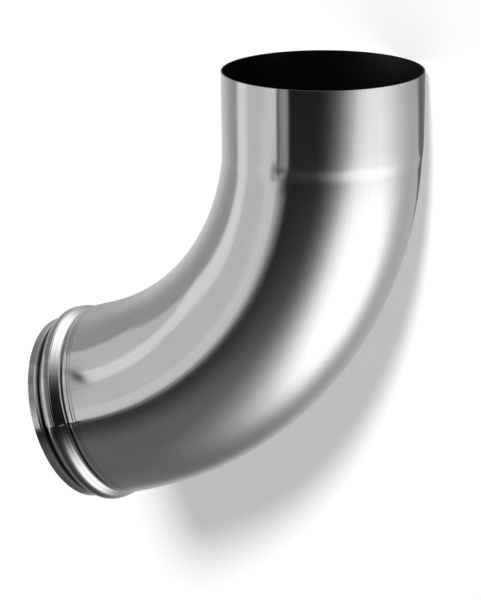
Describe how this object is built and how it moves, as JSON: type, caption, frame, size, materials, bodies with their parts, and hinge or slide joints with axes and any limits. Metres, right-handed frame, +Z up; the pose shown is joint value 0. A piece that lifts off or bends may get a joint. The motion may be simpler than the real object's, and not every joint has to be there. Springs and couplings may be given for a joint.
{
  "type": "downspout shoe",
  "caption": "Bent steel downpipe outlet: a push-on socket at the top, a smooth bend, and a mouth with a rolled bead and a plain rim.",
  "frame": {"origin": "centre of the socket mouth, on the axis of the downpipe", "axes": "+Z up along the downpipe, -X the way the water leaves, Y across the bend's plane of symmetry"},
  "size_m": [0.2076, 0.1032, 0.2384],
  "materials": {
    "steel": "satin mill finish, brighter on the rolled bead"
  },
  "bodies": {
    "root": {"downspout_shoe": "steel"}
  },
  "joints": []
}
